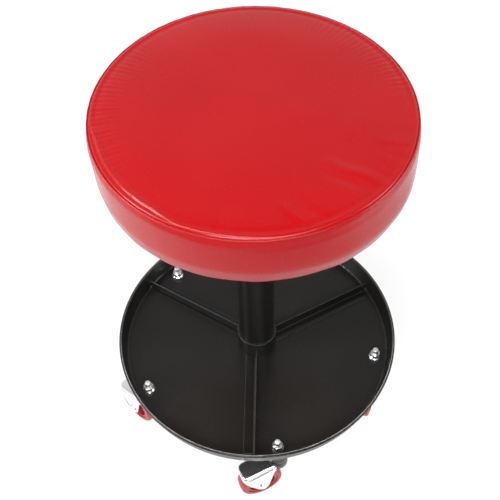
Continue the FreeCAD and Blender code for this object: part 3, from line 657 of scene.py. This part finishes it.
def hem_rings():
    """The rounded lower edge and the part stapled under the board."""
    centre = FOOT_RADIUS - EDGE_RADIUS
    for turn in map(math.radians, EDGE_ANGLES):
        height = SEAT_BOTTOM + EDGE_RADIUS - EDGE_RADIUS * math.sin(turn)
        yield ring(centre + EDGE_RADIUS * math.cos(turn), height, True)
    inner = FOOT_RADIUS - HEM
    for radius in np.linspace(centre - HEM_START, inner + HEM_ROUND, HEM_RINGS):
        yield ring(radius, SEAT_BOTTOM, True)
    yield ring(inner, SEAT_BOTTOM + HEM_ROUND, True)


def inside_rings():
    """The inside, against the board."""
    inner = FOOT_RADIUS - HEM
    lid = BOARD_BOTTOM - HEM_CLEARANCE
    corner = BOARD_RADIUS - BOARD_EDGE
    for radius in (inner + HEM_SKEW, inner + LID_START, corner):
        yield ring(radius, lid, True)
    reach = BOARD_EDGE + BOARD_CLEARANCE
    for turn in map(math.radians, BOARD_ANGLES):
        yield ring(corner + reach * math.sin(turn), BOARD_BOTTOM + BOARD_EDGE - reach * math.cos(turn), True)
    pad = BOARD_TOP + PAD_CLEARANCE
    yield ring(BOARD_RADIUS + BOARD_CLEARANCE, pad, True)
    for radius, thinning in PAD_RINGS:
        yield ring(radius, pad, True, thinning)
    yield ring(0.0, pad, True)


def seat_profile():
    """Rings of the cushion from the middle of its top, round the outside, to the middle of its inside."""
    return [*top_rings(), *band_rings(), *hem_rings(), *inside_rings()]


def join_rows(a, n, b, m):
    """Faces between a row of n points that starts at a and one of m points that starts at b.
    The rows have as many points, or one has twice as many, or one is a single point."""
    if n == 1:
        return [(a, b + i, b + (i + 1) % m) for i in range(m)]
    if m == 1:
        return [(a + (i + 1) % n, a + i, b) for i in range(n)]
    if n == m:
        return [(a + i, b + i, b + (i + 1) % m, a + (i + 1) % n) for i in range(n)]
    faces = []
    if m == 2 * n:
        for i in range(n):
            low, high = a + i, a + (i + 1) % n
            left, middle, right = b + 2 * i, b + 2 * i + 1, b + (2 * i + 2) % m
            faces += [(low, left, middle), (low, middle, high), (high, middle, right)]
    else:
        for i in range(m):
            low, high = b + i, b + (i + 1) % m
            left, middle, right = a + 2 * i, a + 2 * i + 1, a + (2 * i + 2) % n
            faces += [(low, middle, left), (low, high, middle), (high, right, middle)]
    return faces


def lathe(rings):
    """A closed mesh through the rings, and the indices of its pinned points."""
    points, pinned, rows = [], [], []
    for radius, height, held, segments in rings:
        start = len(points)
        number = 1 if radius == 0.0 else segments
        for i in range(number):
            angle = 2 * math.pi * i / number
            points.append((radius * math.cos(angle) * MM, radius * math.sin(angle) * MM, height * MM))
        rows.append((start, number))
        if held:
            pinned.extend(range(start, start + number))
    faces = []
    for row, next_row in zip(rows, rows[1:]):
        faces += join_rows(*row, *next_row)
    return points, faces, pinned


def new_object(name, points, faces):
    mesh = bpy.data.meshes.new(name)
    mesh.from_pydata(points, [], faces)
    mesh.validate()
    made = bpy.data.objects.new(name, mesh)
    scene.collection.objects.link(made)
    mesh.shade_smooth()
    return made


def coordinates(mesh):
    flat = np.empty(len(mesh.vertices) * 3)
    mesh.vertices.foreach_get("co", flat)
    return flat.reshape(-1, 3)


def move_points(mesh, points):
    mesh.vertices.foreach_set("co", points.ravel())
    mesh.update()


def evaluated(obj):
    """The mesh of an object with its modifiers applied, as a new mesh."""
    depsgraph = bpy.context.evaluated_depsgraph_get()
    return bpy.data.meshes.new_from_object(obj.evaluated_get(depsgraph))


# Cloth of the cover, swollen by the foam's pressure
CLOTH_FRAMES = 20
CLOTH = {
    "quality": 8,
    "mass": 0.3,
    "tension_stiffness": 40.0,
    "compression_stiffness": 30.0,
    "shear_stiffness": 15.0,
    "bending_stiffness": 4.0,
    "air_damping": 4.0,
    "use_pressure": True,
    "uniform_pressure_force": 4.0,
}


def inflate(obj, pinned):
    """Cloth held at the seam, the stapled edge and the board, swollen by the foam under it."""
    group = obj.vertex_groups.new(name="held")
    group.add(pinned, 1.0, "REPLACE")
    before = coordinates(obj.data)
    cloth = obj.modifiers.new("Cloth", "CLOTH")
    for key, value in CLOTH.items():
        setattr(cloth.settings, key, value)
    cloth.settings.vertex_group_mass = group.name
    cloth.settings.effector_weights.gravity = 0.0
    cloth.collision_settings.use_collision = False
    cloth.point_cache.frame_start = 1
    cloth.point_cache.frame_end = CLOTH_FRAMES
    for step in range(1, CLOTH_FRAMES + 1):
        scene.frame_set(step)
    swollen = evaluated(obj)
    move = coordinates(swollen) - before
    bpy.data.meshes.remove(swollen)
    obj.modifiers.remove(cloth)
    scene.frame_set(1)
    # Larger moves ease towards the cap
    cap = SWELL_CAP * MM
    tiny = 1e-9
    size = np.linalg.norm(move, axis=1, keepdims=True)
    eased = cap * np.tanh(size / cap)
    move_points(obj.data, before + move * np.where(size > tiny, eased / np.maximum(size, tiny), 1.0))


def subdivide(obj):
    smooth = obj.modifiers.new("Subdivision", "SUBSURF")
    smooth.levels = 1
    mesh = evaluated(obj)
    obj.modifiers.remove(smooth)
    old = obj.data
    obj.data = mesh
    bpy.data.meshes.remove(old)


def clamped(value):
    return min(max(value, 0.0), 1.0)


def ease(value, low, high):
    """Zero at one bound, one at the other, with a soft start and end."""
    t = clamped((value - low) / (high - low))
    return t * t * (3 - 2 * t)


def within(arc, angle):
    """One between the ends of an arc, easing to zero over its soft margin."""
    away = abs((angle - (arc.start + arc.end) / 2 + 180.0) % 360.0 - 180.0)
    half = (arc.end - arc.start) / 2
    return 1.0 - ease(away, half, half + arc.soft)


def bell(value, middle, width):
    return math.exp(-((value - middle) / width) ** 2)


def swelling(form, value):
    return form.size * bell(value, form.middle, form.width)


# Creases of the top panel: two plan points as shares of the seat's radius, height and width in millimetres
CREASES = (
    ((0.38, -0.43), (0.76, -0.63), 1.0, 6.0),
    ((0.36, -0.53), (0.70, -0.67), -0.6, 5.0),
    ((0.12, -0.75), (0.29, -0.91), 0.9, 4.5),
    ((0.20, -0.70), (0.40, -0.86), -0.5, 6.0),
    ((0.62, -0.05), (0.55, -0.30), 0.45, 9.0),
    ((-0.30, -0.62), (-0.10, -0.70), 0.3, 8.0),
    ((0.70, -0.28), (0.93, -0.30), 0.45, 5.0),
)
CREASE_WANDER = 3.0
CREASE_WAVES = 3.0           # of the wander along a crease
CREASE_ENDS = 0.7            # power, lower for blunter ends


def crease_height(x, y):
    total = 0.0
    for start, end, height, width in CREASES:
        ax, ay = (share * SEAM_RADIUS for share in start)
        bx, by = (share * SEAM_RADIUS for share in end)
        ux, uy = bx - ax, by - ay
        length = math.hypot(ux, uy)
        t = ((x - ax) * ux + (y - ay) * uy) / length ** 2
        if not 0.0 < t < 1.0:
            continue
        wander = CREASE_WANDER * noise.noise(Vector((t * CREASE_WAVES, ax, ay)))
        off = ((x - ax) * uy - (y - ay) * ux) / length + wander
        total += height * math.sin(math.pi * t) ** CREASE_ENDS * bell(off, 0.0, width)
    return total


# Gathers and sag of the top panel: millimetres, and noise in waves per millimetre
SAG = 0.7
SAG_GRAIN = 0.012
GATHER_RADII = (120.0, 172.0)              # where the gathers start and are full
GATHER_ARCS = (Arc(150, 205, 18), Arc(16, 58, 14))
GATHER_LEAST = 0.1                         # share that is left outside the arcs
GATHER_HEIGHT = 0.28
GATHER_COUNT = 146.0
GATHER_WANDER = 2.0
GATHER_GRAIN = 0.03
GATHER_SLICE = 7.0                         # another slice of the noise
RIPPLE_HEIGHT = 0.08
RIPPLE_COUNT = 61.0
RIPPLE_WANDER = 3.0
SEWN = (3.0, 0.4)                          # inside the groove, where the panel gets less and no freedom


def gather_height(x, y, radius, angle, loose):
    """Broad sag, gathers along the seam and fine ripples between them."""
    turn = math.radians(angle)
    start, full = GATHER_RADII
    edge = clamped((radius - start) / (full - start))
    gathered = max(GATHER_LEAST, *(within(arc, angle) for arc in GATHER_ARCS))
    wander = GATHER_WANDER * noise.noise(Vector((x, y, GATHER_SLICE)) * GATHER_GRAIN)
    height = SAG * noise.noise(Vector((x, y, 0.0)) * SAG_GRAIN)
    height += GATHER_HEIGHT * gathered * edge ** 2 * math.sin(turn * GATHER_COUNT + wander)
    return height + RIPPLE_HEIGHT * edge ** 3 * math.sin(turn * RIPPLE_COUNT + RIPPLE_WANDER * loose)


# Ridge inside the groove, and the pucker at the front left along which it runs further in, in millimetres
PUCKER_ARC = Arc(196, 232, 14)
RIDGE_INSET = 3.6
RIDGE_WANDER = 0.25
RIDGE_HEIGHT = 0.4
RIDGE_WIDTH = 2.0
PUCKER_INSET = 4.8
PUCKER_HEIGHT = 1.1
PUCKER_WIDTH = 0.4
RIDGE_HOLLOW = Form(0.4, -5.0, 2.8)        # beside the ridge, towards the middle
PUCKER_HOLLOW = Form(0.9, 3.6, 1.5)        # beside the ridge, towards the seam


def ridge_height(radius, angle, loose):
    """The ridge along the seam and the hollows beside it."""
    pucker = within(PUCKER_ARC, angle)
    ridge = GROOVE_RADIUS - RIDGE_INSET - PUCKER_INSET * pucker + RIDGE_WANDER * loose
    width = RIDGE_WIDTH + PUCKER_WIDTH * pucker
    height = (RIDGE_HEIGHT + PUCKER_HEIGHT * pucker) * bell(radius, ridge, width)
    height -= swelling(RIDGE_HOLLOW, radius - ridge)
    return height - swelling(PUCKER_HOLLOW, radius - ridge) * pucker


def panel_lift(x, y, radius, angle, loose):
    """How far the top panel lies above its smooth form."""
    free, sewn = SEWN
    held = 1.0 - ease(radius, GROOVE_RADIUS - free, GROOVE_RADIUS - sewn)
    height = gather_height(x, y, radius, angle, loose) + crease_height(x, y)
    return (height + ridge_height(radius, angle, loose)) * held


# Waves of the rolled seam, in millimetres, and noise in waves round the seat
ROLL_WAVE = 0.16
ROLL_GRAIN = 18.0
ROLL_FINE_GRAIN = 51.0
ROLL_FINE_SHARE = 0.6
ROLL_FREE = (-0.5, 1.0)      # from the groove, where the waves start and are full


def roll_wave(around, radius):
    """How far the rolled seam lies outside and above its smooth form."""
    start, full = ROLL_FREE
    wave = noise.noise(around * ROLL_GRAIN) + ROLL_FINE_SHARE * noise.noise(around * ROLL_FINE_GRAIN)
    return ROLL_WAVE * wave * ease(radius, GROOVE_RADIUS + start, GROOVE_RADIUS + full)


# Side band: pushes in millimetres, places and widths as shares of its height unless they say otherwise
UNEVEN = ((0.6, 3.0, 0.02), (0.16, 12.0, 0.03))    # push, and noise round the seat and per millimetre up
BAND_GATHERS = Form(0.14, 0.93, 0.06)
BAND_GATHER_COUNT = 97.0
BAND_GATHER_WANDER = 4.0
BOARD_LINE = Form(0.15, 3.0, 2.6)                  # millimetres above the board's top
BOARD_LINE_WANDER = 2.0
FLAT_FRONT = Form(0.8, BAND_SWELL, 4.5)            # millimetres below the seam
FLAT_ARC = Arc(276, 312, 14)
SIDEWAYS = Form(1.6, 0.4, 0.35)                    # the pad sits a little to the right
SIDEWAYS_TURN = 22.0
BULGE = Form(2.6, 0.25, 0.35)
BULGE_ARC = Arc(303, 326, 24)
STAPLE_PULL = Form(0.22, 0.0, 0.13)


def band_push(around, z, angle, loose):
    """How far the side band lies outside its smooth form."""
    turn = math.radians(angle)
    share = (z - SEAT_BOTTOM) / (SEAM_HEIGHT - SEAT_BOTTOM)
    out = 0.0
    for push, grain, rise in UNEVEN:
        out += push * noise.noise(around * grain + Vector((0.0, 0.0, z * rise)))
    out += swelling(BAND_GATHERS, share) * math.sin(turn * BAND_GATHER_COUNT + BAND_GATHER_WANDER * loose)
    out -= swelling(BOARD_LINE, z - BOARD_TOP - BOARD_LINE_WANDER * loose)
    out -= swelling(FLAT_FRONT, SEAM_HEIGHT - z) * within(FLAT_ARC, angle)
    out += swelling(SIDEWAYS, share) * math.cos(math.radians(angle + SIDEWAYS_TURN))
    out += swelling(BULGE, share) * within(BULGE_ARC, angle)
    return out + swelling(STAPLE_PULL, share) * math.cos(turn * STAPLES)


# Pleats of the hem, in millimetres
PLEAT_COUNT = 36.0
PLEAT_WANDER = 2.5
PLEAT_DROP = 0.9
PLEAT_START = 6.0            # inside the foot
PLEAT_REACH = 18.0


def hem_drop(radius, angle, loose):
    """How far the pleated hem hangs below its smooth form."""
    inward = clamped((FOOT_RADIUS - PLEAT_START - radius) / PLEAT_REACH)
    pleat = abs(math.sin(math.radians(angle) * PLEAT_COUNT + PLEAT_WANDER * loose))
    return PLEAT_DROP * inward * (1.0 - pleat) ** 2


# Limits between the cover's parts, in millimetres
PANEL_DEPTH = 2.0            # below the seam
BAND_BOTTOM = 1.5            # above the seat's bottom
HEM_SLACK = 0.5              # round the hem
BOARD_SIDE = 0.7             # inside the foot: what lies further in, beside the board, stays
BOARD_SIDE_DEPTH = 4.8       # below the board's top
AXIS = 1.0                   # what lies nearer to the axis stays
LOOSE_GRAIN = 5.1            # noise in waves round the seat


def sculpt(obj):
    """Ripples, creases and pulls of the stretched vinyl."""
    points = coordinates(obj.data) / MM
    for p in points:
        x, y, z = p
        radius = math.hypot(x, y)
        if radius < AXIS or z < SEAT_BOTTOM - HEM_SLACK:
            continue
        angle = math.degrees(math.atan2(y, x)) % 360.0
        around = Vector((x / radius, y / radius, 0.0))
        loose = noise.noise(around * LOOSE_GRAIN)
        beside_board = radius < FOOT_RADIUS - BOARD_SIDE and z > BOARD_TOP - BOARD_SIDE_DEPTH
        if z > SEAM_HEIGHT - PANEL_DEPTH:
            wave = roll_wave(around, radius)
            p += np.array(around) * wave
            p[2] += panel_lift(x, y, radius, angle, loose) + wave
        elif z > SEAT_BOTTOM + BAND_BOTTOM:
            if not beside_board:
                p += np.array(around) * band_push(around, z, angle, loose)
        elif radius > FOOT_RADIUS - HEM - HEM_SLACK and z < SEAT_BOTTOM + HEM_SLACK:
            p[2] -= hem_drop(radius, angle, loose)
    move_points(obj.data, points * MM)


def make_cushion(materials):
    """The padded cover, one soft piece."""
    points, faces, pinned = lathe(seat_profile())
    cushion = new_object("seat_cushion", points, faces)
    inflate(cushion, pinned)
    subdivide(cushion)
    sculpt(cushion)
    cushion.data.shade_smooth()
    cushion.data.materials.append(materials["red_vinyl"])
    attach(cushion, "seat")
    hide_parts("seat_cover", "seat_foam")


def stitch_points(middle, radius):
    """Rings of points along one stitch, which dips into the vinyl at both ends."""
    for step in range(STITCH_STEPS + 1):
        t = step / STITCH_STEPS * 2 - 1
        angle = middle + t * STITCH_LENGTH / 2 / radius
        height = SEAM_HEIGHT + GROOVE_RISE + STITCH_RISE - STITCH_DIP * t ** 4
        thick = STITCH_RADIUS * math.sqrt(1.0 - STITCH_TAPER * t ** 4)
        for side in range(STITCH_SIDES):
            turn = 2 * math.pi * side / STITCH_SIDES
            reach = (radius + thick * math.cos(turn)) * MM
            yield reach * math.cos(angle), reach * math.sin(angle), (height + thick * math.sin(turn)) * MM


def make_stitches():
    """Thread of the seam, in short uneven stitches."""
    draws = random.Random(STITCH_SEED)
    points, faces = [], []
    number = int(2 * math.pi * GROOVE_RADIUS / STITCH_PITCH)
    for i in range(number):
        middle = 2 * math.pi * (i + draws.uniform(-STITCH_UNEVEN, STITCH_UNEVEN)) / number
        radius = GROOVE_RADIUS + draws.uniform(-STITCH_WANDER, STITCH_WANDER)
        rings = range(len(points), len(points) + STITCH_STEPS * STITCH_SIDES + 1, STITCH_SIDES)
        points += stitch_points(middle, radius)
        for start in rings[:-1]:
            for side in range(STITCH_SIDES):
                a, b = start + side, start + (side + 1) % STITCH_SIDES
                faces.append((a, b, b + STITCH_SIDES, a + STITCH_SIDES))
        faces.append(tuple(range(rings[0], rings[0] + STITCH_SIDES))[::-1])
        faces.append(tuple(range(rings[-1], rings[-1] + STITCH_SIDES)))
    thread = new_object("seam_stitches", points, faces)
    thread.data.materials.append(vinyl_thread())
    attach(thread, "seat")


# Floor, in metres, with its own glow from the front to the white behind
FLOOR_SIZE = 12.0
FLOOR_CELLS = 8
TABLE_FRONT = (-0.74, -0.24)   # pale grey in front of the first, white behind the second
FLOOR_GLOW = (0.20, 0.73)


def build_floor():
    """A white floor that turns pale grey towards the front."""
    bpy.ops.mesh.primitive_grid_add(
        x_subdivisions=FLOOR_CELLS, y_subdivisions=FLOOR_CELLS, size=FLOOR_SIZE, location=(0, 0, 0),
    )
    floor = bpy.context.object
    floor.name = "floor"
    m = Nodes("floor")
    front, behind = TABLE_FRONT
    table = m.span(m.split()["Y"], low=0.0, high=1.0, start=front, end=behind)
    white = m.ramp(m.noise(scale=3.0), (0.3, FLOOR_DARK), (0.7, FLOOR_LIGHT))
    m.colour(m.mix(table, FLOOR_FRONT, white))
    m.put(Roughness=0.9, Specular_IOR_Level=0.1, Emission_Color=(1.0, 1.0, 1.0, 1.0))
    m.link(m.span(table, *FLOOR_GLOW), m.shader.inputs["Emission Strength"])
    floor.data.materials.append(m.material)


# Studio: brightness by the height of a direction, and how far it dims from the back to the front
STUDIO = (
    (0.0, 0.95), (0.50, 0.85), (0.61, 0.38), (0.69, 0.80),
    (0.77, 0.08), (0.80, 0.54), (0.86, 0.50), (0.91, 0.02),
)
STUDIO_DEPTH = (-0.6, 0.35)
STUDIO_FRONT = 0.26


def build_world():
    """A studio that is bright low at the back and dark above and in front."""
    world = bpy.data.worlds.new("studio")
    world.use_nodes = True
    scene.world = world
    tree = world.node_tree
    coords = tree.nodes.new("ShaderNodeTexCoord")
    split = tree.nodes.new("ShaderNodeSeparateXYZ")
    tree.links.new(coords.outputs["Generated"], split.inputs[0])
    height = tree.nodes.new("ShaderNodeValToRGB")
    fill_ramp(height, [(place, (value, value, value)) for place, value in STUDIO])
    tree.links.new(split.outputs["Z"], height.inputs["Fac"])
    behind = tree.nodes.new("ShaderNodeMapRange")
    fill_range(behind, STUDIO_FRONT, 1.0, *STUDIO_DEPTH)
    tree.links.new(split.outputs["Y"], behind.inputs["Value"])
    scaled = tree.nodes.new("ShaderNodeVectorMath")
    scaled.operation = "SCALE"
    tree.links.new(height.outputs["Color"], scaled.inputs[0])
    tree.links.new(behind.outputs["Result"], scaled.inputs["Scale"])
    tree.links.new(scaled.outputs["Vector"], tree.nodes["Background"].inputs["Color"])


def area_light(name, place, aim, size, power):
    """A soft light at a place in metres, aimed at a height on the stool's axis."""
    data = bpy.data.lights.new(name, "AREA")
    data.shape = "RECTANGLE"
    data.size, data.size_y = size
    data.energy = power
    lamp = bpy.data.objects.new(name, data)
    lamp.location = place
    lamp.rotation_mode = "QUATERNION"
    lamp.rotation_quaternion = (Vector((0.0, 0.0, aim)) - Vector(place)).to_track_quat("-Z", "Y")
    scene.collection.objects.link(lamp)


def build_stage():
    """The floor, the studio round it and its soft lights."""
    build_floor()
    build_world()
    area_light("key", place=(-0.25, -0.70, 2.75), aim=0.45, size=(2.8, 0.85), power=49.0)
    area_light("front_fill", place=(0.0, -1.85, 1.85), aim=0.45, size=(1.8, 0.6), power=48.0)
    area_light("left_fill", place=(-2.1, -0.6, 1.5), aim=0.4, size=(0.8, 1.4), power=42.0)
    area_light("right_fill", place=(2.2, -0.4, 1.0), aim=0.4, size=(0.8, 1.4), power=16.0)
    scene.view_settings.view_transform = "Standard"
    scene.view_settings.look = "None"


build_camera()
build_stage()
slots = make_materials()
paint_nodes(slots)
make_cushion(slots)
make_stitches()

bpy.context.view_layer.update()
